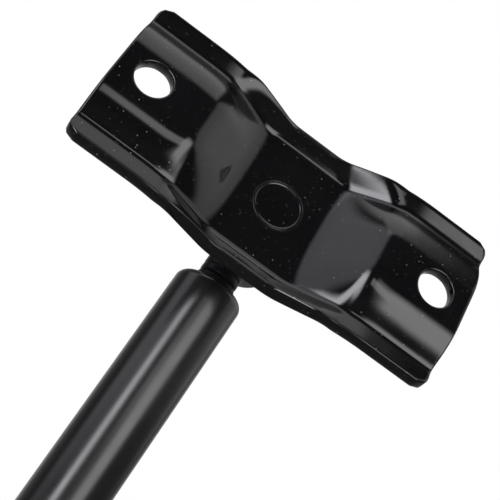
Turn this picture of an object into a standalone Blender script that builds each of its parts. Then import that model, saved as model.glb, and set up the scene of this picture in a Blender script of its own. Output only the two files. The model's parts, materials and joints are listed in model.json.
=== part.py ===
# Gas strut stay: a stamped bracket with a riveted ball stud, and an 18/8 mm gas strut hanging from it.
# The origin is midway between the bolt holes on the bracket's mounting plane. The strut runs down -Z,
# swung a little about the ball stud, as it hangs freely.
# Dimensions in millimetres are turned into metres by MM.
import bpy
import bmesh
import math
from mathutils import Matrix, Vector

MM = 0.001
SEGMENTS = 24

# bracket, in its own frame: x along the bolt line, y across, z out of the mounting face
STRUT_TILT = math.radians(12.0)
STRUT_SWING = math.radians(-0.9)
BOLT_PITCH = 80.0
BOLT_HOLE_R = 4.6
SHEET = 3.0
HALF_LENGTH = 49.0
FLANGE_CORNER_R = 3.0
FLOOR_Z = -10.9
FOOT_Y = 16.5
FOOT_DROP = 4.2
LIP_Y_END, LIP_Y_MID = 21.7, 20.8
LIP_RISE_END, LIP_RISE_MID = 1.4, 2.8
PAD_CREST_Y = 9.4
WEB_START, WEB_END = 12.2, 24.5
LIP_LEAD = 4.2

# ball studs
BALL_DEPTH = 28.5
BALL_R = 5.0
NECK_R = 3.0
COLLAR_R, COLLAR_NEAR, COLLAR_FAR = 8.2, 11.1, 14.35
RIVET_R = 6.3
RIVET_HOLE_R = 6.55

# ball sockets: "mouth" is measured along the ball stud, towards it
SOCKET_TWIST = math.radians(20.0)
HEAD_R, HEAD_BASE, HEAD_MOUTH = 8.8, -13.5, 5.6
CAVITY_R = 6.6
CLIP_HEIGHT, CLIP_WIRE_R = 3.3, 0.5
SHANK_R, SHANK_END = 5.1, 14.4
THREAD_R, THREAD_HOLE_R, THREAD_TOP = 2.9, 3.1, 9.2

# strut, in distances down from the upper ball's centre
TUBE_TOP, TUBE_END = 16.5, 265.6
TUBE_R, BORE_R = 9.0, 7.7
SHOULDER_R, ROLL_R = 2.7, 2.2
ROD_R = 4.0
PISTON_TOP, PISTON_END = 232.6, 240.6
NUT_TOP, NUT_END = 457.8, 462.8
BALL_TO_BALL = 477.5

to_row = Matrix(((1, 0, 0), (0, math.sin(STRUT_TILT), -math.cos(STRUT_TILT)),
                 (0, math.cos(STRUT_TILT), math.sin(STRUT_TILT)))).to_4x4()
stud_axis = (to_row @ Vector((0, 0, 1))).normalized()
strut_up = Matrix.Rotation(STRUT_SWING, 3, stud_axis) @ Vector((0, 0, 1))
upper_ball = stud_axis * -BALL_DEPTH
lower_ball = upper_ball - strut_up * BALL_TO_BALL
lower_stud_axis = Vector((0, -1, 0))


def clear_scene():
    for obj in list(bpy.data.objects):
        bpy.data.objects.remove(obj, do_unlink=True)


def material(name, colour, metallic, roughness):
    made = bpy.data.materials.new(name)
    made.use_nodes = True
    shader = made.node_tree.nodes["Principled BSDF"]
    shader.inputs["Base Color"].default_value = (*colour, 1.0)
    shader.inputs["Metallic"].default_value = metallic
    shader.inputs["Roughness"].default_value = roughness
    return made


LOOKS = {
    "paint": ((0.012, 0.012, 0.013), 0.0, 0.18),
    "black_zinc": ((0.03, 0.03, 0.032), 1.0, 0.35),
    "zinc": ((0.55, 0.56, 0.58), 1.0, 0.3),
    "steel": ((0.45, 0.45, 0.46), 1.0, 0.35),
    "chrome": ((0.8, 0.8, 0.82), 1.0, 0.08),
    "rubber": ((0.02, 0.02, 0.02), 0.0, 0.7),
    "nylon": ((0.75, 0.74, 0.7), 0.0, 0.45),
    "brass": ((0.7, 0.5, 0.2), 1.0, 0.3),
}


def add_object(name, bm, look, origin=(0, 0, 0)):
    """Turn a bmesh in millimetres, measured from origin, into a named object in metres."""
    bmesh.ops.recalc_face_normals(bm, faces=bm.faces)
    mesh = bpy.data.meshes.new(name)
    bm.to_mesh(mesh)
    bm.free()
    mesh.transform(Matrix.Scale(MM, 4))
    mesh.shade_smooth()
    mesh.set_sharp_from_angle(angle=math.radians(35))
    obj = bpy.data.objects.new(name, mesh)
    obj.location = Vector(origin) * MM
    bpy.context.collection.objects.link(obj)
    if look:
        mesh.materials.append(material(name, *LOOKS[look]))
    return obj


def along(axis):
    """Rotation that carries +Z onto axis."""
    return Vector((0, 0, 1)).rotation_difference(Vector(axis)).to_matrix().to_4x4()


def lathe(profile, axis=(0, 0, 1), segments=SEGMENTS):
    """Solid of revolution from (radius, height) points. A profile that leaves the axis closes on itself."""
    bm = bmesh.new()
    rings = []
    for radius, height in profile:
        if radius < 1e-6:
            rings.append([bm.verts.new((0, 0, height))])
            continue
        turn = [2 * math.pi * i / segments for i in range(segments)]
        rings.append([bm.verts.new((radius * math.cos(a), radius * math.sin(a), height)) for a in turn])
    pairs = list(zip(rings[:-1], rings[1:]))
    if len(rings[0]) > 1 and len(rings[-1]) > 1:
        pairs.append((rings[-1], rings[0]))
    for low, high in pairs:
        for i in range(segments):
            j = (i + 1) % segments
            if len(low) == 1:
                bm.faces.new((low[0], high[i], high[j]))
            elif len(high) == 1:
                bm.faces.new((low[i], low[j], high[0]))
            else:
                bm.faces.new((low[i], low[j], high[j], high[i]))
    bm.transform(along(axis))
    return bm


def arc(centre, radius, start, end, steps):
    """Points on a circle in the profile plane, angles in degrees from +radius towards +height."""
    out = []
    for i in range(steps + 1):
        a = math.radians(start + (end - start) * i / steps)
        out.append((centre[0] + radius * math.cos(a), centre[1] + radius * math.sin(a)))
    return out


def down(profile):
    """Strut profiles are written with distance down the strut, so heights change sign."""
    return [(radius, -station) for radius, station in profile]


def boolean(obj, bm, operation, name, origin=(0, 0, 0)):
    """Add or cut a helper solid, which stays in the scene as a hidden wire."""
    helper = add_object(name, bm, None, origin)
    helper.hide_render = True
    helper.display_type = "WIRE"
    step = obj.modifiers.new(name, "BOOLEAN")
    step.operation = operation
    step.solver = "EXACT"
    step.object = helper


def smooth_ramp(t, start, end, ease):
    """0 before start, 1 after end, straight between, with both corners eased."""
    def area(v):
        if v <= start:
            return 0.0
        if v >= end:
            return (end - start) / 2 + (v - end)
        return (v - start) ** 2 / (2 * (end - start))
    return (area(t + ease) - area(t - ease)) / (2 * ease)


def corner(t, at, ease):
    """0 before at, then rising with slope 1, the corner eased over 2 * ease."""
    if t <= at - ease:
        return 0.0
    if t >= at + ease:
        return t - at
    return (t - at + ease) ** 2 / (4 * ease)


def lip_y(x):
    return LIP_Y_MID + (LIP_Y_END - LIP_Y_MID) * smooth_ramp(abs(x), 8.3, 20.1, 2.0)


def sheet_top(x, y):
    """Height of the bracket's outer surface: raised pads, sunken floor, creased feet and turned-up lips."""
    y = abs(y)
    lead = LIP_LEAD * smooth_ramp(y, FOOT_Y, LIP_Y_MID, 1.0)
    pad = smooth_ramp(abs(x), WEB_START - lead, WEB_END - lead, 2.2)
    pad_drop = FOOT_DROP / (FOOT_Y - PAD_CREST_Y)
    end_rise = LIP_RISE_END / (LIP_Y_END - FOOT_Y)
    mid_rise = LIP_RISE_MID / (LIP_Y_MID - FOOT_Y)
    end_z = -pad_drop * corner(y, PAD_CREST_Y, 2.4) + (pad_drop + end_rise) * corner(y, FOOT_Y, 0.9)
    mid_z = FLOOR_Z + mid_rise * corner(y, FOOT_Y, 1.1)
    return mid_z + (end_z - mid_z) * pad


def sheet_normal(x, y):
    step = 0.02
    dx = (sheet_top(x + step, y) - sheet_top(x - step, y)) / (2 * step)
    dy = (sheet_top(x, y + step) - sheet_top(x, y - step)) / (2 * step)
    return Vector((-dx, -dy, 1)).normalized()


def bracket_mesh():
    across = [0, 5, 7.4, 9.4, 11.4, 14, 15.6, 16.5, 17.4, 19.4]
    along_x = [0, 6.3, 8.3, 10.2, 12.2, 14.4, 17.2, 20, 22.3, 24.5, 26.7, 31, 41, 45, 48, 49]
    bm = bmesh.new()
    loops = []
    for x0 in [-x for x in reversed(along_x[1:])] + along_x:
        edge = lip_y(x0)
        side = across + [edge - 0.4, edge]
        top, bottom = [], []
        for y in [-v for v in reversed(side[1:])] + side:
            cut = max(0.0, abs(y) - (edge - FLANGE_CORNER_R))
            pull = FLANGE_CORNER_R - math.sqrt(max(0.0, FLANGE_CORNER_R ** 2 - cut ** 2))
            reach = max(0.0, (abs(x0) - 41.0) / (HALF_LENGTH - 41.0))
            x = x0 - math.copysign(pull * reach, x0)
            normal = sheet_normal(x0, y)
            point = Vector((x, y, sheet_top(x0, y)))
            chamfer = 0.35 if abs(y) > edge - 0.01 else 0.0
            top.append(bm.verts.new(point - normal * chamfer))
            bottom.append(bm.verts.new(point - normal * (SHEET - chamfer)))
        loops.append(top + bottom[::-1])
    count = len(loops[0])
    for first, second in zip(loops[:-1], loops[1:]):
        for i in range(count):
            j = (i + 1) % count
            bm.faces.new((first[i], first[j], second[j], second[i]))
    half = count // 2
    for loop in (loops[0], loops[-1]):
        for i in range(half - 1):
            bm.faces.new((loop[i], loop[i + 1], loop[count - 2 - i], loop[count - 1 - i]))
    bm.transform(to_row)
    return bm


def cylinder(radius, low, high, axis, centre=(0, 0, 0), segments=SEGMENTS):
    bm = lathe([(0, low), (radius, low), (radius, high), (0, high)], axis, segments)
    bm.transform(Matrix.Translation(centre))
    return bm


def make_bracket():
    bracket = add_object("mounting_bracket", bracket_mesh(), "paint")
    for side, label in ((-1, "left"), (1, "right")):
        centre = to_row @ Vector((side * BOLT_PITCH / 2, 0, 0))
        boolean(bracket, cylinder(BOLT_HOLE_R, -6, 3, stud_axis, centre), "DIFFERENCE", "bolt_hole_" + label)
    boolean(bracket, cylinder(RIVET_HOLE_R, -18, -7, stud_axis), "DIFFERENCE", "rivet_hole")


def ball_profile(neck_end):
    """Ball on its centre with a neck that leaves it upwards."""
    neck = math.degrees(math.acos(NECK_R / BALL_R))
    return [(0, -BALL_R)] + arc((0, 0), BALL_R, -72, neck, 10) + [(NECK_R, neck_end)]


def make_upper_stud():
    profile = ball_profile(COLLAR_NEAR)
    profile += [(COLLAR_R - 0.5, COLLAR_NEAR), (COLLAR_R, COLLAR_NEAR + 0.5), (COLLAR_R, COLLAR_FAR - 0.4)]
    rivet_end = BALL_DEPTH + FLOOR_Z
    profile += [(COLLAR_R - 0.4, COLLAR_FAR), (RIVET_R, COLLAR_FAR)]
    profile += [(RIVET_R, rivet_end - 0.2), (RIVET_R - 0.3, rivet_end + 0.05), (0, rivet_end + 0.05)]
    add_object("upper_ball_stud", lathe(profile, stud_axis), "black_zinc", upper_ball)


def make_dust_seal(name, axis, ball):
    profile = [(3.3, 8.9), (5.2, 8.9), (5.9, 9.5), (5.9, 10.2), (5.3, 10.8), (3.3, 10.8)]
    add_object(name, lathe(profile, axis), "rubber", ball)


def make_socket(end, mouth, shank, ball):
    """Ball socket, liner and retaining ring. Mouth points along the ball stud, shank along the strut."""
    head = [(0, HEAD_BASE), (HEAD_R - 0.7, HEAD_BASE), (HEAD_R, HEAD_BASE + 0.7)]
    groove_r, groove = HEAD_R - 0.75, 0.8
    head += [(HEAD_R, CLIP_HEIGHT - groove), (groove_r, CLIP_HEIGHT - groove), (groove_r, CLIP_HEIGHT + groove)]
    head += [(HEAD_R, CLIP_HEIGHT + groove), (HEAD_R, CLIP_HEIGHT + 1.1), (HEAD_R - 1.2, HEAD_MOUTH)]
    head += [(6.9, HEAD_MOUTH), (5.2, 3.2), (5.05, 2.65), (CAVITY_R, 2.65), (CAVITY_R, -6.55), (0, -6.55)]
    socket = add_object(end + "_socket", lathe(head, mouth), "black_zinc", ball)
    rod = [(0, 7.2), (SHANK_R, 7.2), (SHANK_R, 12.1), (SHANK_R - 0.35, 12.4), (SHANK_R, 12.7)]
    rod += [(SHANK_R, SHANK_END - 0.4), (SHANK_R - 0.4, SHANK_END), (0, SHANK_END)]
    boolean(socket, lathe(rod, shank), "UNION", end + "_socket_shank", ball)
    boolean(socket, cylinder(THREAD_HOLE_R, 8.9, SHANK_END + 2, shank), "DIFFERENCE", end + "_socket_thread", ball)

    liner = [(0, -6.3), (5.8, -6.3), (6.35, -5.7), (6.35, 2.4)]
    rim = math.degrees(math.asin(2.4 / 5.15))
    liner += arc((0, 0), 5.15, rim, -90, 9)[:-1] + [(0, -5.15)]
    add_object(end + "_ball_liner", lathe(liner, mouth), "nylon", ball)

    # open wire ring with its gap at the shank
    wire_ring_r = groove_r + CLIP_WIRE_R + 0.3
    side = Vector(mouth).cross(Vector(shank)).normalized()
    frame = Matrix((Vector(shank), side, Vector(mouth))).transposed().to_4x4()
    bm = bmesh.new()
    rings = []
    for i in range(25):
        turn = math.radians(38 + 284 * i / 24)
        centre = Vector((wire_ring_r * math.cos(turn), wire_ring_r * math.sin(turn), CLIP_HEIGHT))
        out = Vector((math.cos(turn), math.sin(turn), 0))
        ring = []
        for k in range(6):
            a = math.radians(60 * k)
            ring.append(bm.verts.new(centre + CLIP_WIRE_R * (math.cos(a) * out + math.sin(a) * Vector((0, 0, 1)))))
        rings.append(ring)
    for first, second in zip(rings[:-1], rings[1:]):
        for k in range(6):
            bm.faces.new((first[k], first[(k + 1) % 6], second[(k + 1) % 6], second[k]))
    bm.faces.new(rings[0])
    bm.faces.new(rings[-1])
    bm.transform(frame)
    add_object(end + "_retaining_clip", bm, "steel", ball)


def strut_part(name, profile, look):
    add_object(name, lathe(down(profile), strut_up), look, upper_ball)


def make_tube_parts():
    ring = [(3.15, 14.65), (4.9, 14.65), (5.2, 14.9), (5.2, 15.9), (4.9, 16.2), (3.15, 16.2)]
    strut_part("upper_lock_ring", ring, "black_zinc")

    outside = [(4.65, TUBE_TOP), (5.4, TUBE_TOP)]
    outside += arc((TUBE_R - SHOULDER_R, TUBE_TOP + SHOULDER_R), SHOULDER_R, -85, 0, 6)
    outside += [(TUBE_R, 60), (TUBE_R, 140), (TUBE_R, 220), (TUBE_R, TUBE_END - 3.0)]
    outside += arc((TUBE_R - ROLL_R, TUBE_END - ROLL_R), ROLL_R, 0, 90, 4) + [(5.6, TUBE_END)]
    inside = [(5.6, TUBE_END - 1.4), (6.9, TUBE_END - 1.5), (BORE_R, TUBE_END - 2.5), (BORE_R, 220)]
    inside += [(BORE_R, 140), (BORE_R, 60), (BORE_R, TUBE_TOP + 4.2), (6.9, TUBE_TOP + 2.4)]
    inside += [(5.6, TUBE_TOP + 1.6), (4.65, TUBE_TOP + 1.5)]
    strut_part("pressure_tube", outside + inside, "paint")

    plug = [(0, THREAD_TOP), (THREAD_R - 0.4, THREAD_TOP), (THREAD_R, THREAD_TOP + 0.4)]
    plug += [(THREAD_R, TUBE_TOP - 0.1), (4.35, TUBE_TOP - 0.1), (4.35, TUBE_TOP + 1.8), (5.5, TUBE_TOP + 2.0)]
    plug += [(6.4, TUBE_TOP + 2.8), (7.35, TUBE_TOP + 4.7), (7.35, TUBE_TOP + 13), (0, TUBE_TOP + 13)]
    strut_part("tube_end_plug", plug, "steel")

    guide = [(4.08, 252), (7.1, 252), (7.45, 252.4), (7.45, 262.6), (6.8, 263.6), (4.6, 263.6), (4.08, 263)]
    strut_part("rod_guide", guide, "brass")
    seal = [(4.08, 248.4), (4.5, 246.6), (5.1, 246.6), (5.5, 248.6), (6.4, 248.6), (6.8, 246.6), (7.5, 246.6)]
    seal += [(7.5, 251.7), (4.08, 251.7)]
    strut_part("rod_seal", seal, "rubber")
    washer = [(4.3, 245.0), (7.45, 245.0), (7.45, 246.3), (4.3, 246.3)]
    strut_part("seal_backup_washer", washer, "steel")


def make_rod_parts():
    rod = [(0, 229.4), (3.4, 229.4), (4.1, 230.0), (4.1, 231.0), (THREAD_R, 231.0), (THREAD_R, 242.2)]
    rod += [(ROD_R, 242.2), (ROD_R, 320), (ROD_R, 400), (ROD_R, NUT_TOP - 0.7), (ROD_R - 0.5, NUT_TOP - 0.2)]
    rod += [(THREAD_R, NUT_TOP - 0.2), (THREAD_R, 467.6), (THREAD_R - 0.5, 468.1), (0, 468.1)]
    strut_part("piston_rod", rod, "chrome")

    stop = [(3.15, 231.25), (5.6, 231.25), (5.6, 232.35), (3.15, 232.35)]
    strut_part("piston_stop_washer", stop, "steel")
    piston = [(3.15, PISTON_TOP), (6.9, PISTON_TOP), (7.3, PISTON_TOP + 0.4), (7.3, 235.4), (6.2, 235.4)]
    piston += [(6.2, 238.2), (7.3, 238.2), (7.3, PISTON_END - 0.4), (6.9, PISTON_END), (3.15, PISTON_END)]
    strut_part("piston", piston, "steel")
    ring = [(6.45, 235.7), (7.6, 235.7), (7.6, 237.9), (6.45, 237.9)]
    strut_part("piston_ring", ring, "nylon")
    support = [(3.15, 240.85), (6.6, 240.85), (6.6, 241.95), (3.15, 241.95)]
    strut_part("piston_support_washer", support, "steel")
    buffer = [(4.25, 242.45), (6.6, 242.45), (7.1, 242.9), (7.1, 244.3), (6.6, 244.75), (4.25, 244.75)]
    strut_part("rebound_buffer", buffer, "rubber")

    nut_bore = THREAD_HOLE_R + 0.02
    blank = lathe(down([(nut_bore, NUT_TOP), (5.77, NUT_TOP), (5.77, NUT_END), (nut_bore, NUT_END)]), strut_up)
    hex_nut("lower_lock_nut", blank, 10.0, -strut_up, NUT_TOP - 1, NUT_END + 1, upper_ball)


def hex_nut(name, bm, across_flats, axis, low, high, origin):
    """Round blank cut to a hexagon."""
    nut = add_object(name, bm, "zinc", origin)
    hexagon = cylinder(across_flats / math.sqrt(3), low, high, axis, segments=6)
    boolean(nut, hexagon, "INTERSECT", name + "_hexagon", origin)


def make_lower_stud():
    profile = ball_profile(COLLAR_NEAR)
    profile += [(6.6, COLLAR_NEAR), (7.4, COLLAR_NEAR + 0.6), (7.4, COLLAR_NEAR + 3.4), (6.9, COLLAR_NEAR + 3.9)]
    profile += [(3.95, COLLAR_NEAR + 3.9), (3.95, 33.4), (3.4, 34.0), (0, 34.0)]
    add_object("lower_ball_stud", lathe(profile, lower_stud_axis), "zinc", lower_ball)
    washer = [(4.2, 18.6), (7.2, 18.6), (7.2, 20.5), (4.2, 20.5)]
    add_object("lower_spring_washer", lathe(washer, lower_stud_axis), "steel", lower_ball)
    blank = lathe([(4.2, 20.8), (7.5, 20.8), (7.5, 27.3), (4.2, 27.3)], lower_stud_axis)
    hex_nut("lower_stud_nut", blank, 13.0, lower_stud_axis, 19.8, 28.3, lower_ball)


clear_scene()
make_bracket()
make_upper_stud()
make_dust_seal("upper_dust_seal", stud_axis, upper_ball)
across_strut = stud_axis - strut_up * stud_axis.dot(strut_up)
upper_mouth = Matrix.Rotation(-SOCKET_TWIST, 3, strut_up) @ across_strut.normalized()
make_socket("upper", upper_mouth, -strut_up, upper_ball)
make_tube_parts()
make_rod_parts()
make_socket("lower", lower_stud_axis, strut_up, lower_ball)
make_dust_seal("lower_dust_seal", lower_stud_axis, lower_ball)
make_lower_stud()
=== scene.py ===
# Looks of the gas strut stay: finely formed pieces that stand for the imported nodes, and their finishes.
import json
import math
import bmesh
import bpy
from mathutils import Matrix, Vector


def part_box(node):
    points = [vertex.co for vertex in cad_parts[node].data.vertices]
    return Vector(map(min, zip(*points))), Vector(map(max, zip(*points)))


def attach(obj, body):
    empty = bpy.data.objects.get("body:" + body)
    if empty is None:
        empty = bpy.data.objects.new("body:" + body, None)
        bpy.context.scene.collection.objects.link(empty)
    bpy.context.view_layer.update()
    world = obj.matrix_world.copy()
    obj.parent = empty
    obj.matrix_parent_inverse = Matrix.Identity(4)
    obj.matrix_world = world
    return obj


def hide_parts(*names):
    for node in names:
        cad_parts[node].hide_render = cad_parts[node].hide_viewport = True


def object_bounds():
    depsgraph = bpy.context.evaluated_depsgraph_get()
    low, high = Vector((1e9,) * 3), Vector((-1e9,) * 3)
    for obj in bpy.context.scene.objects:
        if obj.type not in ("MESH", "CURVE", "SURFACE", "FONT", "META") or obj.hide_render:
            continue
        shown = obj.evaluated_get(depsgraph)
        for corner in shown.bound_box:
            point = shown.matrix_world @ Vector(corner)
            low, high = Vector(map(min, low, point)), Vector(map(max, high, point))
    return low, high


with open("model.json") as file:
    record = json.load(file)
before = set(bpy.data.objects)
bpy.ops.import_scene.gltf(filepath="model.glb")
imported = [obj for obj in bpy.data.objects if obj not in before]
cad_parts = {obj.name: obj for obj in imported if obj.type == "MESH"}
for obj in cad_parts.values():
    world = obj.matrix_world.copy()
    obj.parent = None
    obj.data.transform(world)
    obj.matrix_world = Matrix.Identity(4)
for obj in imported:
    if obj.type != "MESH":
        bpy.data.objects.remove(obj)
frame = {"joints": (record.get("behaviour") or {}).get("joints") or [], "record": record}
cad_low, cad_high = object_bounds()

MM = 0.001
TINY = 1e-6
SHARP_ANGLE = math.radians(38)
NEARLY_STRAIGHT = math.radians(155)
MOST_CUT = 0.42
record = frame["record"]
joints = {joint["name"]: joint for joint in frame["joints"]}
node_body = {node: body for body, nodes in record["behaviour"]["bodies"].items() for node in nodes}

# places, in millimetres, from the frame
upper_ball = Vector(joints["upper_swivel"]["pos_m"]) / MM
lower_ball = Vector(joints["lower_swivel"]["pos_m"]) / MM
stud_axis = Vector(joints["upper_swivel"]["axis"]).normalized()
lower_stud_axis = Vector(joints["lower_swivel"]["axis"])
strut_up = Vector(joints["rod_slide"]["axis"]).normalized()
BALL_DEPTH = upper_ball.length
HALF_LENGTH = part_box("mounting_bracket")[1].x / MM
HOLE_X = sum(x for x, _, _ in record["physics"]["openings"][1]["box_m"]) / 2 / MM

# strut, as distances down its own axis from the upper ball's centre
TUBE_TOP, TUBE_END, TUBE_R, TUBE_BORE_R = 16.5, 265.6, 9.0, 7.7
SHOULDER_R, ROLL_R = 2.7, 2.2
ROD_R, ROD_END = 4.0, 468.1
NUT_TOP, NUT_END = 457.8, 462.8

# bracket, in its own frame: x along the bolt line, y across, z out of the mounting face
HOLE_R = 4.6
SHEET = 3.0
CORNER_R = 3.0
FLOOR_Z = -10.9
FOOT_Y, FOOT_DROP = 16.5, 4.2
LIP_Y_END, LIP_Y_MID = 21.7, 20.8
LIP_RISE_END, LIP_RISE_MID = 1.4, 2.8
LIP_FLARE_START, LIP_FLARE_END = 8.3, 20.1
FOLD_EASE_END, FOLD_EASE_MID, FOLD_HALF_WIDTH = 0.9, 1.1, 1.4
PAD_CREST_Y = 9.4
CREST_EASE = 4.6
CORNER_FALL, CORNER_REACH = 0.011, 32.0
FALL_START_Y, FALL_END_Y = 6.0, 12.0
WEB_START, WEB_END, WEB_EASE, LIP_LEAD = 11.7, 24.5, 2.4, 4.2
EDGE_R = 0.45
RIVET_HOLE_R, RIVET_R = 6.55, 6.45
RIM_HEIGHT, DISC_HEIGHT = 0.18, 0.03
CORNER_FROM_X = 41.0
HOLE_SQUARE, RIVET_SQUARE = 6.5, 8.5
GRID = 0.55

# turned parts
SEGMENTS = 96
TURNS = [2 * math.pi * i / SEGMENTS for i in range(SEGMENTS)]
WIRE_SIDES, WIRE_STEPS = 16, 120
BALL_R, NECK_R = 5.0, 3.0
BOLT_R = 3.95
THREAD_R, THREAD_HOLE_R = 2.9, 3.1
SOCKET_TWIST = math.radians(20.0)
HEAD_R, HEAD_BASE, HEAD_MOUTH, CAVITY_R = 8.8, -13.5, 5.6, 6.6
BASE_CHAMFER, CAVITY_FLOOR = 0.7, -6.55
CLIP_HEIGHT, CLIP_WIRE_R, GROOVE_R, GROOVE_HALF_WIDTH = 3.3, 0.5, 8.05, 0.8
SEAT_R, LINER_RIM = 5.15, 2.0
SHANK_R, SHANK_END = 5.1, 14.4

# camera, lights and room
LIGHT_DISTANCE = 1.5
ROOM_DARKEST = 0.015
FLOOR_HALF_SIZE, FLOOR_GAP = 3.0, 0.004
LENS = 78.85
CAMERA_AT = Vector((-27.62, -223.54, -105.54))
CAMERA_HEADING, CAMERA_PITCH, CAMERA_ROLL = 6.81, 20.92, 33.67


# ---------------------------------------------------------------- finishes

RAMP_ENDS = ("From Min", "From Max", "To Min", "To Max")


class Finish:
    """A Principled material with short calls for its texture nodes, whose coordinates are in millimetres."""

    def __init__(self, name, colour, metallic, roughness):
        self.material = bpy.data.materials.new(name)
        self.material.use_nodes = True
        self.tree = self.material.node_tree
        self.shader = self.tree.nodes["Principled BSDF"]
        self.set("Base Color", (*colour, 1.0))
        self.set("Metallic", metallic)
        self.set("Roughness", roughness)
        place = self.tree.nodes.new("ShaderNodeTexCoord")
        scale = self.tree.nodes.new("ShaderNodeMapping")
        scale.inputs["Scale"].default_value = (1 / MM, 1 / MM, 1 / MM)
        self.tree.links.new(place.outputs["Object"], scale.inputs["Vector"])
        self.where = scale.outputs["Vector"]

    def set(self, socket, value):
        self.shader.inputs[socket].default_value = value

    def link(self, source, target):
        self.tree.links.new(source, target)

    def stretched(self, x, y, z):
        """Coordinates scaled along each axis, for grain that runs one way."""
        node = self.tree.nodes.new("ShaderNodeMapping")
        node.inputs["Scale"].default_value = (x, y, z)
        self.link(self.where, node.inputs["Vector"])
        return node.outputs["Vector"]

    def noise(self, scale, detail=3.0, where=None):
        node = self.tree.nodes.new("ShaderNodeTexNoise")
        node.inputs["Scale"].default_value = scale
        node.inputs["Detail"].default_value = detail
        self.link(where or self.where, node.inputs["Vector"])
        return node.outputs["Fac"]

    def specks(self, per_mm, radius, share):
        """Mask of small round specks, one in some of the cells of a random grid."""
        cells = self.tree.nodes.new("ShaderNodeTexVoronoi")
        cells.inputs["Scale"].default_value = per_mm
        self.link(self.where, cells.inputs["Vector"])
        near = self.ramp(cells.outputs["Distance"], radius * per_mm, radius * per_mm * 0.5, 0.0, 1.0)
        split = self.tree.nodes.new("ShaderNodeSeparateColor")
        self.link(cells.outputs["Color"], split.inputs["Color"])
        chosen = self.ramp(split.outputs["Red"], share, share - 0.002, 0.0, 1.0)
        return self.times(near, chosen)

    def ramp(self, value, low, high, out_low, out_high):
        node = self.tree.nodes.new("ShaderNodeMapRange")
        self.link(value, node.inputs["Value"])
        for socket, number in zip(RAMP_ENDS, (low, high, out_low, out_high)):
            node.inputs[socket].default_value = number
        return node.outputs["Result"]

    def maths(self, operation, a, b):
        node = self.tree.nodes.new("ShaderNodeMath")
        node.operation = operation
        self.link(a, node.inputs[0])
        self.link(b, node.inputs[1])
        return node.outputs[0]

    def times(self, a, b):
        return self.maths("MULTIPLY", a, b)

    def larger(self, a, b):
        return self.maths("MAXIMUM", a, b)

    def blend(self, mask, a, b):
        """Colour that goes from a to b with the mask. Either end may be a socket."""
        node = self.tree.nodes.new("ShaderNodeMix")
        node.data_type = "RGBA"
        self.link(mask, node.inputs[0])
        for socket, end in ((node.inputs[6], a), (node.inputs[7], b)):
            if isinstance(end, tuple):
                socket.default_value = (*end, 1.0)
            else:
                self.link(end, socket)
        return node.outputs[2]

    def colour(self, source):
        self.link(source, self.shader.inputs["Base Color"])

    def roughness(self, source):
        self.link(source, self.shader.inputs["Roughness"])

    def bump(self, height, depth_mm, after=None):
        node = self.tree.nodes.new("ShaderNodeBump")
        node.inputs["Strength"].default_value = 1.0
        node.inputs["Distance"].default_value = depth_mm * MM
        self.link(height, node.inputs["Height"])
        if after:
            self.link(after, node.inputs["Normal"])
        self.link(node.outputs["Normal"], self.shader.inputs["Normal"])
        return node.outputs["Normal"]


def dip_paint():
    """Glossy black dip coat with slow waves, a faint orange peel and dust."""
    made = Finish("black_dip_paint", (0.006, 0.006, 0.007), 0.0, 0.09)
    made.set("Specular IOR Level", 0.55)
    dust = made.larger(made.specks(0.9, 0.12, 0.14), made.specks(2.0, 0.06, 0.14))
    film = made.blend(made.noise(0.07), (0.0012, 0.0012, 0.0014), (0.003, 0.003, 0.0034))
    made.colour(made.blend(dust, film, (0.26, 0.26, 0.26)))
    smear = made.ramp(made.noise(0.11, 4.0), 0.35, 0.75, 0.055, 0.13)
    made.roughness(made.larger(smear, made.ramp(dust, 0.0, 1.0, 0.0, 0.7)))
    waves = made.bump(made.noise(0.13, 1.0), 0.05)
    peel = made.bump(made.noise(0.55, 2.0), 0.005, after=waves)
    made.bump(made.noise(3.2, 2.0), 0.0006, after=peel)
    return made.material


def tube_paint():
    """Semi-gloss black coat on the drawn tube, with faint lengthwise marks."""
    made = Finish("black_tube_paint", (0.010, 0.010, 0.011), 0.0, 0.26)
    made.set("Specular IOR Level", 0.6)
    dust = made.specks(0.3, 0.12, 0.06)
    film = made.blend(made.noise(0.05), (0.004, 0.004, 0.004), (0.008, 0.008, 0.008))
    made.colour(made.blend(dust, film, (0.3, 0.3, 0.3)))
    made.roughness(made.ramp(made.noise(0.12, 5.0), 0.3, 0.75, 0.2, 0.27))
    drawn = made.bump(made.noise(1.6, 3.0, made.stretched(1, 1, 0.02)), 0.0012)
    made.bump(made.noise(6.0, 2.0), 0.0008, after=drawn)
    return made.material


def plated(name, colour, roughness, metallic=1.0, specular=0.5):
    """Plated or bare steel with fine grain and soft darker blotches."""
    made = Finish(name, colour, metallic, roughness)
    made.set("Specular IOR Level", specular)
    stain = tuple(c * 0.55 for c in colour)
    made.colour(made.blend(made.ramp(made.noise(0.25, 5.0), 0.45, 0.8, 0.0, 0.8), colour, stain))
    made.roughness(made.ramp(made.noise(0.6, 6.0), 0.25, 0.8, roughness * 0.75, roughness * 1.5))
    made.bump(made.noise(4.8, 4.0), 0.0015)
    return made.material


def hard_chrome():
    made = Finish("hard_chrome", (0.78, 0.79, 0.8), 1.0, 0.06)
    made.roughness(made.ramp(made.noise(0.2, 5.0), 0.3, 0.8, 0.04, 0.12))
    made.colour(made.blend(made.noise(0.04, 2.0), (0.74, 0.75, 0.77), (0.82, 0.83, 0.84)))
    made.bump(made.noise(9.0, 2.0, made.stretched(0.3, 0.3, 1)), 0.00025)
    return made.material


def rubber():
    made = Finish("seal_rubber", (0.018, 0.018, 0.018), 0.0, 0.6)
    made.colour(made.blend(made.noise(0.4, 5.0), (0.012, 0.012, 0.012), (0.035, 0.034, 0.033)))
    made.roughness(made.ramp(made.noise(1.1, 5.0), 0.3, 0.75, 0.5, 0.78))
    made.bump(made.noise(4.0, 4.0), 0.012)
    return made.material


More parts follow.
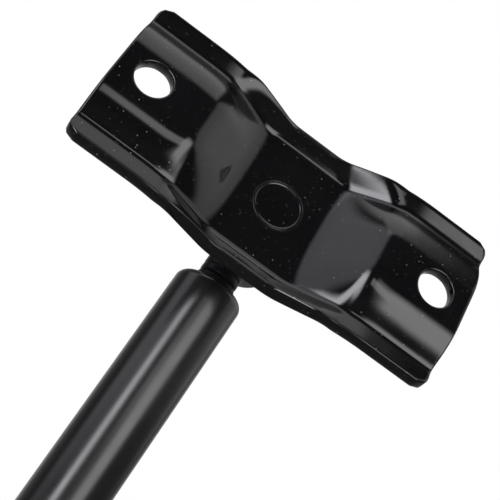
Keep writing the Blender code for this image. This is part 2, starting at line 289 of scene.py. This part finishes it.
def nylon():
    made = Finish("white_nylon", (0.74, 0.73, 0.69), 0.0, 0.42)
    made.set("Subsurface Weight", 0.15)
    made.set("Subsurface Radius", (0.002, 0.0018, 0.0015))
    made.colour(made.blend(made.noise(0.3, 4.0), (0.78, 0.77, 0.73), (0.68, 0.66, 0.6)))
    made.roughness(made.ramp(made.noise(0.9, 5.0), 0.3, 0.75, 0.34, 0.52))
    made.bump(made.noise(3.0, 4.0), 0.006)
    return made.material


def brass():
    made = Finish("guide_brass", (0.66, 0.47, 0.19), 1.0, 0.28)
    made.colour(made.blend(made.noise(0.3, 5.0), (0.7, 0.5, 0.2), (0.5, 0.33, 0.12)))
    made.roughness(made.ramp(made.noise(0.8, 5.0), 0.3, 0.75, 0.2, 0.42))
    made.bump(made.noise(7.0, 2.0, made.stretched(0.3, 0.3, 1)), 0.002)
    return made.material


# finish: its material and the record's slot
LOOKS = {
    "dip_paint": (dip_paint(), "black_paint"),
    "tube_paint": (tube_paint(), "black_paint"),
    "black_zinc": (plated("black_zinc_plate", (0.006, 0.006, 0.007), 0.3, 0.0, 0.12), "black_steel"),
    "zinc": (plated("bright_zinc_plate", (0.62, 0.63, 0.66), 0.26), "bright_steel"),
    "steel": (plated("bare_steel", (0.42, 0.42, 0.43), 0.36), "bright_steel"),
    "chrome": (hard_chrome(), "rod_chrome"),
    "rubber": (rubber(), "seal_rubber"),
    "nylon": (nylon(), "white_nylon"),
    "brass": (brass(), "guide_brass"),
}


# ---------------------------------------------------------------- shapes

def add_piece(node, bm, look):
    """Turn a bmesh in millimetres, in the row frame, into the piece that stands for a CAD node."""
    bmesh.ops.recalc_face_normals(bm, faces=bm.faces)
    mesh = bpy.data.meshes.new(node + "_detail")
    bm.to_mesh(mesh)
    bm.free()
    mesh.transform(Matrix.Scale(MM, 4))
    mesh.shade_smooth()
    mesh.set_sharp_from_angle(angle=SHARP_ANGLE)
    material, slot = LOOKS[look]
    mesh.materials.append(material)
    piece = bpy.data.objects.new(node + "_detail", mesh)
    bpy.context.scene.collection.objects.link(piece)
    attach(piece, node_body[node])
    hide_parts(node)


def along(axis):
    """Rotation that carries +Z onto axis."""
    return Vector((0, 0, 1)).rotation_difference(Vector(axis)).to_matrix().to_4x4()


def arc(centre, radius, start, end, count):
    """Points on a circle in the profile plane, angles in degrees from +radius towards +height."""
    turns = [math.radians(start + (end - start) * i / count) for i in range(count + 1)]
    return [(centre[0] + radius * math.cos(a), centre[1] + radius * math.sin(a)) for a in turns]


def down(profile):
    """Strut profiles are written with distance down the strut, so heights change sign."""
    return [(radius, -station) for radius, station in profile]


def softened(profile, radius):
    """Round a profile's corners. Its two ends stay put where they lie on the axis."""
    points = [Vector(p) for p in profile]
    count = len(points)
    open_ended = points[0].x < TINY or points[-1].x < TINY
    out = []
    for i, point in enumerate(points):
        if open_ended and i in (0, count - 1):
            out.append(point)
            continue
        back, on = points[i - 1] - point, points[(i + 1) % count] - point
        if back.length < TINY or on.length < TINY or back.angle(on) > NEARLY_STRAIGHT:
            out.append(point)
            continue
        cut = min(radius, back.length * MOST_CUT, on.length * MOST_CUT)
        first, last = point + back.normalized() * cut, point + on.normalized() * cut
        for t in (0, 0.25, 0.5, 0.75, 1):
            out.append(first * (1 - t) ** 2 + point * (2 * t * (1 - t)) + last * t ** 2)
    return [(p.x, p.y) for p in out]


def skin(rings, closed):
    """Faces between rings of vertices. A ring of one vertex is a pole."""
    bm = bmesh.new()
    made = [[bm.verts.new(p) for p in ring] for ring in rings]
    pairs = list(zip(made[:-1], made[1:]))
    if closed:
        pairs.append((made[-1], made[0]))
    for low, high in pairs:
        count = max(len(low), len(high))
        for i in range(count):
            j = (i + 1) % count
            if len(low) == 1:
                bm.faces.new((low[0], high[i], high[j]))
            elif len(high) == 1:
                bm.faces.new((low[i], low[j], high[0]))
            else:
                bm.faces.new((low[i], low[j], high[j], high[i]))
    return bm


def lathe(profile, axis, origin, wave=None):
    """Solid of revolution from (radius, height) points. wave(turn, radius, height) may reshape the radius."""
    rings = []
    for radius, height in profile:
        if radius < TINY:
            rings.append([(0, 0, height)])
            continue
        ring = []
        for turn in TURNS:
            r = wave(turn, radius, height) if wave else radius
            ring.append((r * math.cos(turn), r * math.sin(turn), height))
        rings.append(ring)
    bm = skin(rings, closed=len(rings[0]) > 1 and len(rings[-1]) > 1)
    bm.transform(Matrix.Translation(origin) @ along(axis))
    return bm


def thread(crest, depth, pitch, low, high):
    """Wave that cuts a real helical thread between two heights, fading out at both."""
    def wave(turn, radius, height):
        if radius < crest - 0.01 or not low < height < high:
            return radius
        phase = (height / pitch - turn / (2 * math.pi)) % 1.0
        groove = min(1.0, max(0.0, 1.25 - abs(phase - 0.5) * 4))
        fade = min(1.0, (height - low) / pitch, (high - height) / pitch)
        return radius - depth * groove * fade
    return wave


def steps(radius, low, high, size):
    """Profile points up a straight side, close enough together to carry a thread."""
    count = max(1, round(abs(high - low) / size))
    return [(radius, low + (high - low) * i / count) for i in range(count + 1)]


# ---------------------------------------------------------------- bracket

to_row = Matrix(((1, 0, 0), (0, stud_axis.z, stud_axis.y), (0, -stud_axis.y, stud_axis.z))).to_4x4()


def smooth_ramp(t, start, end, ease):
    """0 before start, 1 after end, straight between, with both corners eased."""
    def area(v):
        if v <= start:
            return 0.0
        if v >= end:
            return (end - start) / 2 + (v - end)
        return (v - start) ** 2 / (2 * (end - start))
    return (area(t + ease) - area(t - ease)) / (2 * ease)


def corner(t, at, ease):
    """0 before at, then rising with slope 1, the corner eased over 2 * ease."""
    if t <= at - ease:
        return 0.0
    if t >= at + ease:
        return t - at
    return (t - at + ease) ** 2 / (4 * ease)


def lip_y(x):
    flare = smooth_ramp(abs(x), LIP_FLARE_START, LIP_FLARE_END, 2.0)
    return LIP_Y_MID + (LIP_Y_END - LIP_Y_MID) * flare


def sheet_top(x, y):
    """Height of the bracket's outer surface: raised pads, sunken floor, creased feet and turned-up lips."""
    y = abs(y)
    lead = LIP_LEAD * smooth_ramp(y, FOOT_Y, LIP_Y_MID, 1.0)
    pad = smooth_ramp(abs(x), WEB_START - lead, WEB_END - lead, WEB_EASE)
    pad_drop = FOOT_DROP / (FOOT_Y - PAD_CREST_Y)
    end_rise = LIP_RISE_END / (LIP_Y_END - FOOT_Y)
    mid_rise = LIP_RISE_MID / (LIP_Y_MID - FOOT_Y)
    end_z = -pad_drop * corner(y, PAD_CREST_Y, CREST_EASE)
    end_z += (pad_drop + end_rise) * corner(y, FOOT_Y, FOLD_EASE_END)
    mid_z = FLOOR_Z + mid_rise * corner(y, FOOT_Y, FOLD_EASE_MID)
    near_web = min(max(0.0, CORNER_REACH - abs(x)), CORNER_REACH - WEB_END)
    end_z -= CORNER_FALL * near_web ** 2 * smooth_ramp(y, FALL_START_Y, FALL_END_Y, 2.0)
    return mid_z + (end_z - mid_z) * pad


def sheet_point(x, y, depth):
    """Point at a depth under the outer surface, measured square to it."""
    step = 0.02
    dx = (sheet_top(x + step, y) - sheet_top(x - step, y)) / (2 * step)
    dy = (sheet_top(x, y + step) - sheet_top(x, y - step)) / (2 * step)
    normal = Vector((-dx, -dy, 1)).normalized()
    return Vector((x, y, sheet_top(x, y))) - normal * depth


def spread(stops, size):
    """Values between stops, evenly spaced at about size, that include every stop."""
    out = [stops[0]]
    for low, high in zip(stops[:-1], stops[1:]):
        count = max(1, round((high - low) / size))
        out += [low + (high - low) * (i + 1) / count for i in range(count)]
    return out


def mirrored(values):
    return [-v for v in reversed(values[1:])] + values


# each hole's middle, radius, half the side of the grid square round it, and edge radius
HOLES = [
    (-HOLE_X, HOLE_R, HOLE_SQUARE, EDGE_R),
    (0.0, RIVET_HOLE_R, RIVET_SQUARE, 0.1),
    (HOLE_X, HOLE_R, HOLE_SQUARE, EDGE_R),
]


def outline_x(x, y, edge):
    """Pull a station near the ends inwards, so that the plate's corners are round."""
    cut = min(max(0.0, abs(y) - (edge + EDGE_R - CORNER_R)), CORNER_R - EDGE_R)
    inner = CORNER_R - EDGE_R
    pull = inner - math.sqrt(max(0.0, inner ** 2 - cut ** 2))
    reach = max(0.0, (abs(x) - CORNER_FROM_X) / (HALF_LENGTH - EDGE_R - CORNER_FROM_X))
    return x - math.copysign(pull * reach, x)


def hole_patch(bm, grid, lines, hole, depth):
    """Faces from a square of grid vertices in to a round hole. Returns the hole's ring and the square."""
    cx, radius, half, edge_r = hole
    xs, ys = lines
    left, right = (min(range(len(xs)), key=lambda i: abs(xs[i] - cx - s * half)) for s in (-1, 1))
    low, high = (min(range(len(ys)), key=lambda j: abs(ys[j] - s * half)) for s in (-1, 1))
    around = [(i, low) for i in range(left, right)] + [(right, j) for j in range(low, high)]
    around += [(i, high) for i in range(right, left, -1)] + [(left, j) for j in range(high, low, -1)]
    ring = [grid[i][j] for i, j in around]
    rim = radius + edge_r
    for share in (0.25, 0.5, 0.72, 0.88, 1.0):
        inner = []
        for i, j in around:
            dx, dy = xs[i] - cx, ys[j]
            reach = math.hypot(dx, dy)
            grow = 1 + (rim / reach - 1) * share
            inner.append(bm.verts.new(sheet_point(cx + dx * grow, dy * grow, depth)))
        for k in range(len(ring)):
            n = (k + 1) % len(ring)
            bm.faces.new((ring[k], ring[n], inner[n], inner[k]))
        ring = inner
    return ring, (left, right, low, high)


def bridge(bm, first, second):
    for k in range(len(first)):
        n = (k + 1) % len(first)
        bm.faces.new((first[k], first[n], second[n], second[k]))


def rounded_wall(bm, top, bottom, outwards, edge_r):
    """Wall between two rings, rounded into both faces. outwards gives each point's way off the sheet."""
    rings = [top]
    for face, ring, order in ((1, top, (30, 60, 90)), (-1, bottom, (90, 60, 30))):
        for angle in order:
            a = math.radians(angle)
            points = []
            for vert, (out, normal) in zip(ring, outwards):
                shift = out * (edge_r * math.sin(a)) - normal * (face * edge_r * (1 - math.cos(a)))
                points.append(bm.verts.new(vert.co + shift))
            rings.append(points)
    rings.append(bottom)
    for first, second in zip(rings[:-1], rings[1:]):
        bridge(bm, first, second)


def make_bracket():
    end_x = HALF_LENGTH - EDGE_R
    hole_sides = [hole[0] + share * hole[2] for hole in HOLES for share in (-1, 1)]
    xs = spread([-end_x] + hole_sides + [end_x], GRID)
    fold_start, fold_end = FOOT_Y - FOLD_HALF_WIDTH, FOOT_Y + FOLD_HALF_WIDTH
    flat = mirrored(spread([0, HOLE_SQUARE, RIVET_SQUARE, fold_start, fold_end, LIP_Y_MID - EDGE_R], GRID))
    bm = bmesh.new()
    grids = []
    for depth in (0.0, SHEET):
        grid = []
        for x0 in xs:
            edge = lip_y(x0) - EDGE_R
            column = []
            for y0 in flat:
                beyond = max(0.0, abs(y0) - fold_end)
                reach = (edge - fold_end) / (LIP_Y_MID - EDGE_R - fold_end)
                y = math.copysign(abs(y0) + beyond * (reach - 1), y0)
                x = outline_x(x0, y, edge)
                column.append(bm.verts.new(sheet_point(x0, y, depth) + Vector((x - x0, 0, 0))))
            grid.append(column)
        grids.append(grid)
    squares = []
    for hole in HOLES:
        rings = []
        for depth, grid in zip((0.0, SHEET), grids):
            ring, square = hole_patch(bm, grid, (xs, flat), hole, depth)
            rings.append(ring)
        squares.append(square)
        centre = Vector((hole[0], 0, 0))
        inward = [((centre - v.co) * Vector((1, 1, 0))).normalized() for v in rings[0]]
        rounded_wall(bm, rings[0], rings[1], [(out, Vector((0, 0, 1))) for out in inward], hole[3])
    for grid in grids:
        for i in range(len(xs) - 1):
            for j in range(len(flat) - 1):
                if any(a <= i < b and c <= j < d for a, b, c, d in squares):
                    continue
                bm.faces.new((grid[i][j], grid[i + 1][j], grid[i + 1][j + 1], grid[i][j + 1]))
    last_i, last_j = len(xs) - 1, len(flat) - 1
    edge_cells = [(i, 0) for i in range(last_i)] + [(last_i, j) for j in range(last_j)]
    edge_cells += [(i, last_j) for i in range(last_i, 0, -1)] + [(0, j) for j in range(last_j, 0, -1)]
    top = [grids[0][i][j] for i, j in edge_cells]
    bottom = [grids[1][i][j] for i, j in edge_cells]
    outwards = []
    for k in range(len(top)):
        normal = (top[k].co - bottom[k].co).normalized()
        run = (top[(k + 1) % len(top)].co - top[k - 1].co).normalized()
        outwards.append((run.cross(normal).normalized(), normal))
    rounded_wall(bm, top, bottom, outwards, EDGE_R)
    bm.transform(to_row)
    add_piece("mounting_bracket", bm, "dip_paint")


# ---------------------------------------------------------------- ball joints

def ball_profile(neck_end):
    neck = math.degrees(math.acos(NECK_R / BALL_R))
    return [(0, -BALL_R)] + arc((0, 0), BALL_R, -84, neck, 28) + [(NECK_R, neck_end)]


def make_upper_stud():
    collar = [(7.7, 11.1), (8.2, 11.6), (8.2, 13.95), (7.8, 14.35), (RIVET_R, 14.35)]
    rivet_end = BALL_DEPTH + FLOOR_Z
    rim_end, disc_end = rivet_end + RIM_HEIGHT, rivet_end + DISC_HEIGHT
    head = [(RIVET_R, rim_end), (RIVET_R - 0.5, rim_end), (RIVET_R - 0.8, disc_end), (0, disc_end)]
    profile = ball_profile(11.1) + softened([(0, 11.1)] + collar + head, 0.22)[1:]
    add_piece("upper_ball_stud", lathe(profile, stud_axis, upper_ball), "dip_paint")


def make_dust_seal(node, axis, ball):
    profile = [(3.3, 8.9), (5.2, 8.9), (5.9, 9.5), (5.9, 10.2), (5.3, 10.8), (3.3, 10.8)]
    add_piece(node, lathe(softened(profile, 0.35), axis, ball), "rubber")


def joined(name, first, second, operation):
    """Boolean of two bmeshes as a new bmesh."""
    objects = []
    for bm in (first, second):
        bmesh.ops.recalc_face_normals(bm, faces=bm.faces)
        mesh = bpy.data.meshes.new(name)
        bm.to_mesh(mesh)
        bm.free()
        obj = bpy.data.objects.new(name, mesh)
        bpy.context.scene.collection.objects.link(obj)
        objects.append(obj)
    step = objects[0].modifiers.new(name, "BOOLEAN")
    step.operation = operation
    step.object = objects[1]
    depsgraph = bpy.context.evaluated_depsgraph_get()
    mesh = bpy.data.meshes.new_from_object(objects[0].evaluated_get(depsgraph))
    out = bmesh.new()
    out.from_mesh(mesh)
    for obj in objects:
        bpy.data.objects.remove(obj)
    return out


def make_socket(end, mouth, shank, ball):
    """Ball socket, liner and retaining ring. Mouth points along the ball stud, shank along the strut."""
    low, high = CLIP_HEIGHT - GROOVE_HALF_WIDTH, CLIP_HEIGHT + GROOVE_HALF_WIDTH
    head = [(0, HEAD_BASE), (HEAD_R - BASE_CHAMFER, HEAD_BASE), (HEAD_R, HEAD_BASE + BASE_CHAMFER)]
    head += [(HEAD_R, low), (GROOVE_R, low), (GROOVE_R, high), (HEAD_R, high), (HEAD_R, high + 0.3)]
    head += [(HEAD_R - 1.2, HEAD_MOUTH), (6.9, HEAD_MOUTH), (5.2, 3.2), (5.05, 2.65)]
    head += [(CAVITY_R, 2.65), (CAVITY_R, CAVITY_FLOOR), (0, CAVITY_FLOOR)]
    stem = [(0, 7.2), (SHANK_R, 7.2), (SHANK_R, 12.1), (SHANK_R - 0.35, 12.4), (SHANK_R, 12.7)]
    stem += [(SHANK_R, SHANK_END - 0.4), (SHANK_R - 0.4, SHANK_END), (0, SHANK_END)]
    hole = [(0, 8.9), (THREAD_HOLE_R, 8.9), (THREAD_HOLE_R, SHANK_END + 2), (0, SHANK_END + 2)]
    head_body = lathe(softened(head, 0.35), mouth, ball)
    stem_body = lathe(softened(stem, 0.3), shank, ball)
    body = joined("socket", head_body, stem_body, "UNION")
    body = joined("socket", body, lathe(hole, shank, ball), "DIFFERENCE")
    add_piece(end + "_socket", body, "black_zinc")

    rim = math.degrees(math.asin(LINER_RIM / SEAT_R))
    inner_r = SEAT_R * math.cos(math.radians(rim))
    liner = softened([(0, -6.3), (5.8, -6.3), (6.35, -5.7), (6.35, LINER_RIM), (inner_r, LINER_RIM)], 0.2)
    liner = liner[:-1] + arc((0, 0), SEAT_R, rim, -88, 24) + [(0, -SEAT_R)]
    add_piece(end + "_ball_liner", lathe(liner, mouth, ball), "nylon")

    side = Vector(mouth).cross(Vector(shank)).normalized()
    local = Matrix((Vector(shank), side, Vector(mouth))).transposed().to_4x4()
    rings = []
    spokes = [2 * math.pi * k / WIRE_SIDES for k in range(WIRE_SIDES)]
    up = Vector((0, 0, 1))
    for i in range(WIRE_STEPS + 1):
        turn = math.radians(38 + 284 * i / WIRE_STEPS)
        out = Vector((math.cos(turn), math.sin(turn), 0))
        centre = out * (GROOVE_R + CLIP_WIRE_R + 0.3) + up * CLIP_HEIGHT
        rings.append([centre + CLIP_WIRE_R * (math.cos(a) * out + math.sin(a) * up) for a in spokes])
    first, last = (sum(ring, Vector()) / WIRE_SIDES for ring in (rings[0], rings[-1]))
    bm = skin([[first]] + rings + [[last]], closed=False)
    bm.transform(Matrix.Translation(ball) @ local)
    add_piece(end + "_retaining_clip", bm, "steel")


def make_lower_stud():
    collar = [(0, 11.1), (6.6, 11.1), (7.4, 11.7), (7.4, 14.5), (6.9, 15.0), (BOLT_R, 15.0)]
    collar = softened(collar, 0.3)[1:]
    shaft = [(BOLT_R, 15.6)] + steps(BOLT_R, 16.0, 33.2, 0.15) + [(3.4, 34.0), (0, 34.0)]
    cut = thread(BOLT_R, 0.62, 1.25, 16.2, 33.4)
    bm = lathe(ball_profile(11.1) + collar + shaft, lower_stud_axis, lower_ball, wave=cut)
    add_piece("lower_ball_stud", bm, "zinc")

    washer = softened([(4.2, 18.6), (7.2, 18.6), (7.2, 20.5), (4.2, 20.5)], 0.25)
    add_piece("lower_spring_washer", lathe(washer, lower_stud_axis, lower_ball), "steel")
    add_piece("lower_stud_nut", hex_nut(13.0, 4.2, 20.8, 27.3, lower_stud_axis, lower_ball), "zinc")


def hex_nut(across_flats, bore, low, high, axis, origin):
    """Hexagon nut with its corners turned back at both ends and a countersunk bore."""
    flat = across_flats / 2
    turned_r = flat * 0.96

    def wall(turn):
        return flat / math.cos((turn + math.pi / 6) % (math.pi / 3) - math.pi / 6)

    ends = []
    for share, face in ((-1, low), (1, high)):
        rings = [[(bore * math.cos(turn), bore * math.sin(turn), face - share * 0.5) for turn in TURNS]]
        for radius in (bore + 0.5, flat * 0.8, turned_r, None):
            ring = []
            for turn in TURNS:
                r = wall(turn) if radius is None else radius
                fall = max(0.0, r - turned_r) * math.tan(math.radians(30))
                ring.append((r * math.cos(turn), r * math.sin(turn), face - share * fall))
            rings.append(ring)
        ends.append(rings)
    bm = skin(ends[0] + ends[1][::-1], closed=True)
    bm.transform(Matrix.Translation(origin) @ along(axis))
    return bm


# ---------------------------------------------------------------- strut

def strut_piece(node, profile, look, rounding=0.2):
    add_piece(node, lathe(softened(down(profile), rounding), strut_up, upper_ball), look)


def make_tube_parts():
    ring = [(3.15, 14.65), (4.9, 14.65), (5.2, 14.9), (5.2, 15.9), (4.9, 16.2), (3.15, 16.2)]
    strut_piece("upper_lock_ring", ring, "black_zinc", 0.12)
    shell = [(4.65, TUBE_TOP), (5.4, TUBE_TOP)]
    shell += arc((TUBE_R - SHOULDER_R, TUBE_TOP + SHOULDER_R), SHOULDER_R, -85, 0, 18)
    shell += [(TUBE_R, 60), (TUBE_R, 140), (TUBE_R, 220), (TUBE_R, TUBE_END - 3.0)]
    shell += arc((TUBE_R - ROLL_R, TUBE_END - ROLL_R), ROLL_R, 0, 90, 12) + [(5.6, TUBE_END)]
    shell += [(5.6, TUBE_END - 1.4), (6.9, TUBE_END - 1.5), (TUBE_BORE_R, TUBE_END - 2.5)]
    shell += [(TUBE_BORE_R, 220), (TUBE_BORE_R, 140), (TUBE_BORE_R, 60), (TUBE_BORE_R, TUBE_TOP + 4.2)]
    shell += [(6.9, TUBE_TOP + 2.4), (5.6, TUBE_TOP + 1.6), (4.65, TUBE_TOP + 1.5)]
    strut_piece("pressure_tube", shell, "tube_paint", 0.25)
    plug = [(0, 9.2), (2.5, 9.2), (THREAD_R, 9.6), (THREAD_R, TUBE_TOP - 0.1), (4.35, TUBE_TOP - 0.1)]
    plug += [(4.35, TUBE_TOP + 1.8), (5.5, TUBE_TOP + 2.0), (6.4, TUBE_TOP + 2.8), (7.35, TUBE_TOP + 4.7)]
    strut_piece("tube_end_plug", plug + [(7.35, TUBE_TOP + 13), (0, TUBE_TOP + 13)], "steel")
    guide = [(4.08, 252), (7.1, 252), (7.45, 252.4), (7.45, 262.6), (6.8, 263.6), (4.6, 263.6), (4.08, 263)]
    strut_piece("rod_guide", guide, "brass")
    seal = [(4.08, 248.4), (4.5, 246.6), (5.1, 246.6), (5.5, 248.6), (6.4, 248.6), (6.8, 246.6), (7.5, 246.6)]
    strut_piece("rod_seal", seal + [(7.5, 251.7), (4.08, 251.7)], "rubber")
    strut_piece("seal_backup_washer", [(4.3, 245.0), (7.45, 245.0), (7.45, 246.3), (4.3, 246.3)], "steel")


def make_rod_parts():
    rod = [(0, 229.4), (3.4, 229.4), (4.1, 230.0), (4.1, 231.0), (THREAD_R, 231.0), (THREAD_R, 242.2)]
    rod += [(ROD_R, 242.2), (ROD_R, 320), (ROD_R, 400), (ROD_R, NUT_TOP - 0.7), (ROD_R - 0.5, NUT_TOP - 0.2)]
    rod = softened(rod, 0.15) + [(THREAD_R, NUT_TOP - 0.2)] + steps(THREAD_R, NUT_TOP, ROD_END - 0.6, 0.12)
    rod += [(THREAD_R - 0.5, ROD_END), (0, ROD_END)]
    cut = thread(THREAD_R, 0.5, 1.0, -ROD_END + 0.5, -NUT_TOP)
    add_piece("piston_rod", lathe(down(rod), strut_up, upper_ball, wave=cut), "chrome")
    strut_piece("piston_stop_washer", [(3.15, 231.25), (5.6, 231.25), (5.6, 232.35), (3.15, 232.35)], "steel")
    piston = [(3.15, 232.6), (6.9, 232.6), (7.3, 233.0), (7.3, 235.4), (6.2, 235.4)]
    piston += [(6.2, 238.2), (7.3, 238.2), (7.3, 240.2), (6.9, 240.6), (3.15, 240.6)]
    strut_piece("piston", piston, "steel")
    strut_piece("piston_ring", [(6.45, 235.7), (7.6, 235.7), (7.6, 237.9), (6.45, 237.9)], "nylon")
    washer = [(3.15, 240.85), (6.6, 240.85), (6.6, 241.95), (3.15, 241.95)]
    strut_piece("piston_support_washer", washer, "steel")
    buffer = [(4.25, 242.45), (6.6, 242.45), (7.1, 242.9), (7.1, 244.3), (6.6, 244.75), (4.25, 244.75)]
    strut_piece("rebound_buffer", buffer, "rubber")
    nut = hex_nut(10.0, THREAD_HOLE_R + 0.02, -NUT_END, -NUT_TOP, strut_up, upper_ball)
    add_piece("lower_lock_nut", nut, "zinc")


# ---------------------------------------------------------------- studio

def make_floor():
    """Pale studio floor just under the strut's lower end."""
    size, height = FLOOR_HALF_SIZE, cad_low.z - FLOOR_GAP
    mesh = bpy.data.meshes.new("studio_floor")
    corners = ((-size, -size), (size, -size), (size, size), (-size, size))
    mesh.from_pydata([(x, y, height) for x, y in corners], [], [(0, 1, 2, 3)])
    floor = bpy.data.objects.new("studio_floor", mesh)
    bpy.context.scene.collection.objects.link(floor)
    look = bpy.data.materials.new("studio_floor")
    look.use_nodes = True
    shader = look.node_tree.nodes["Principled BSDF"]
    shader.inputs["Base Color"].default_value = (0.85, 0.85, 0.85, 1)
    shader.inputs["Roughness"].default_value = 0.8
    mesh.materials.append(look)
    floor.visible_glossy = False


def make_world():
    """White behind the object. What the paint reflects is a dark room, paler below and at the back."""
    world = bpy.data.worlds.new("studio")
    bpy.context.scene.world = world
    world.use_nodes = True
    tree = world.node_tree
    tree.nodes.clear()
    rays = tree.nodes.new("ShaderNodeLightPath")
    white = tree.nodes.new("ShaderNodeBackground")
    white.inputs["Color"].default_value = (1, 1, 1, 1)
    room = tree.nodes.new("ShaderNodeBackground")
    heading = tree.nodes.new("ShaderNodeTexCoord")
    split = tree.nodes.new("ShaderNodeSeparateXYZ")
    tree.links.new(heading.outputs["Generated"], split.inputs["Vector"])
    pale = tree.nodes.new("ShaderNodeMath")
    pale.operation = "ADD"
    for place, (side, start, end, most) in enumerate((("Y", 0.3, 0.7, 0.3), ("Z", -0.05, -0.5, 0.12))):
        rise = tree.nodes.new("ShaderNodeMapRange")
        for socket, number in zip(RAMP_ENDS, (start, end, ROOM_DARKEST, most)):
            rise.inputs[socket].default_value = number
        tree.links.new(split.outputs[side], rise.inputs["Value"])
        tree.links.new(rise.outputs["Result"], pale.inputs[place])
    tree.links.new(pale.outputs[0], room.inputs["Strength"])
    mix = tree.nodes.new("ShaderNodeMixShader")
    out = tree.nodes.new("ShaderNodeOutputWorld")
    tree.links.new(rays.outputs["Is Glossy Ray"], mix.inputs["Fac"])
    tree.links.new(white.outputs[0], mix.inputs[1])
    tree.links.new(room.outputs[0], mix.inputs[2])
    tree.links.new(mix.outputs[0], out.inputs["Surface"])


def feathered(lamp, feather):
    """Let a flat light fade over this share of its width towards each edge."""
    lamp.use_nodes = True
    tree = lamp.node_tree
    shape = tree.nodes.new("ShaderNodeNewGeometry")
    split = tree.nodes.new("ShaderNodeSeparateXYZ")
    tree.links.new(shape.outputs["Parametric"], split.inputs["Vector"])
    total = None
    for side in ("X", "Y"):
        for start, end in ((0.0, feather), (1.0, 1.0 - feather)):
            fade = tree.nodes.new("ShaderNodeMapRange")
            fade.interpolation_type = "SMOOTHSTEP"
            fade.inputs["From Min"].default_value, fade.inputs["From Max"].default_value = start, end
            tree.links.new(split.outputs[side], fade.inputs["Value"])
            if total is None:
                total = fade.outputs["Result"]
                continue
            both = tree.nodes.new("ShaderNodeMath")
            both.operation = "MULTIPLY"
            tree.links.new(total, both.inputs[0])
            tree.links.new(fade.outputs["Result"], both.inputs[1])
            total = both.outputs[0]
    tree.links.new(total, tree.nodes["Emission"].inputs["Strength"])


def softbox(name, heading, long_side, size, brightness, feather, tint=(1, 1, 1)):
    """Flat light facing the bracket. heading is its direction in the bracket's own frame and long_side the
    way its first side runs. size is in metres, and brightness is how white its middle looks in a mirror."""
    way = (to_row.to_3x3() @ Vector(heading)).normalized()
    run = to_row.to_3x3() @ Vector(long_side)
    run = (run - way * run.dot(way)).normalized()
    lamp = bpy.data.lights.new(name, "AREA")
    lamp.shape = "RECTANGLE"
    lamp.size, lamp.size_y = size
    lamp.energy = brightness * math.pi * size[0] * size[1]
    lamp.color = tint
    feathered(lamp, feather)
    box = bpy.data.objects.new(name, lamp)
    turned = Matrix((run, way.cross(run), way)).transposed().to_4x4()
    box.matrix_world = Matrix.Translation(way * LIGHT_DISTANCE) @ turned
    box.visible_camera = False
    bpy.context.scene.collection.objects.link(box)


def make_camera():
    data = bpy.data.cameras.new("camera")
    data.sensor_width = 36.0
    data.lens = LENS
    data.clip_start, data.clip_end = 0.01, 20.0
    camera = bpy.data.objects.new("camera", data)
    turn = Matrix.Rotation(math.radians(-CAMERA_HEADING), 4, "Z")
    tip = Matrix.Rotation(math.radians(90 + CAMERA_PITCH), 4, "X")
    roll = Matrix.Rotation(math.radians(CAMERA_ROLL), 4, "Z")
    camera.matrix_world = Matrix.Translation(CAMERA_AT * MM) @ turn @ tip @ roll
    bpy.context.scene.collection.objects.link(camera)
    bpy.context.scene.camera = camera


make_camera()
make_world()
make_floor()
softbox("right_wall", (0.8, 0.58, 0.14), (0, 1, 0), (1.6, 2.8), 0.75, 0.22)
softbox("left_wall", (-0.8, 0.44, 0.42), (0, 1, 0), (1.9, 2.1), 1.05, 0.25, (0.92, 0.92, 1.0))
softbox("back_panel", (-0.13, 0.93, 0.33), (1, 0, 0), (1.5, 1.6), 1.0, 0.22)
softbox("under_panel", (0.0, 0.1, -1.0), (1, 0, 0), (3.0, 3.0), 0.4, 0.3)
softbox("high_box", (0.42, -0.07, 0.9), (1, 0, 0), (1.1, 1.25), 3.7, 0.3)
softbox("high_strip", (0.03, 0.02, 1.0), (1, 0, 0), (0.8, 0.42), 2.2, 0.3)
softbox("left_strip", (-0.55, -0.22, 0.8), (0, 1, 0), (2.2, 0.6), 8.0, 0.35, (0.95, 0.95, 1.0))
bpy.context.scene.view_settings.view_transform = "Standard"

make_bracket()
make_upper_stud()
make_dust_seal("upper_dust_seal", stud_axis, upper_ball)
across_strut = (stud_axis - strut_up * stud_axis.dot(strut_up)).normalized()
upper_mouth = Matrix.Rotation(-SOCKET_TWIST, 3, strut_up) @ across_strut
make_socket("upper", upper_mouth, -strut_up, upper_ball)
make_tube_parts()
make_rod_parts()
make_socket("lower", lower_stud_axis, strut_up, lower_ball)
make_dust_seal("lower_dust_seal", lower_stud_axis, lower_ball)
make_lower_stud()
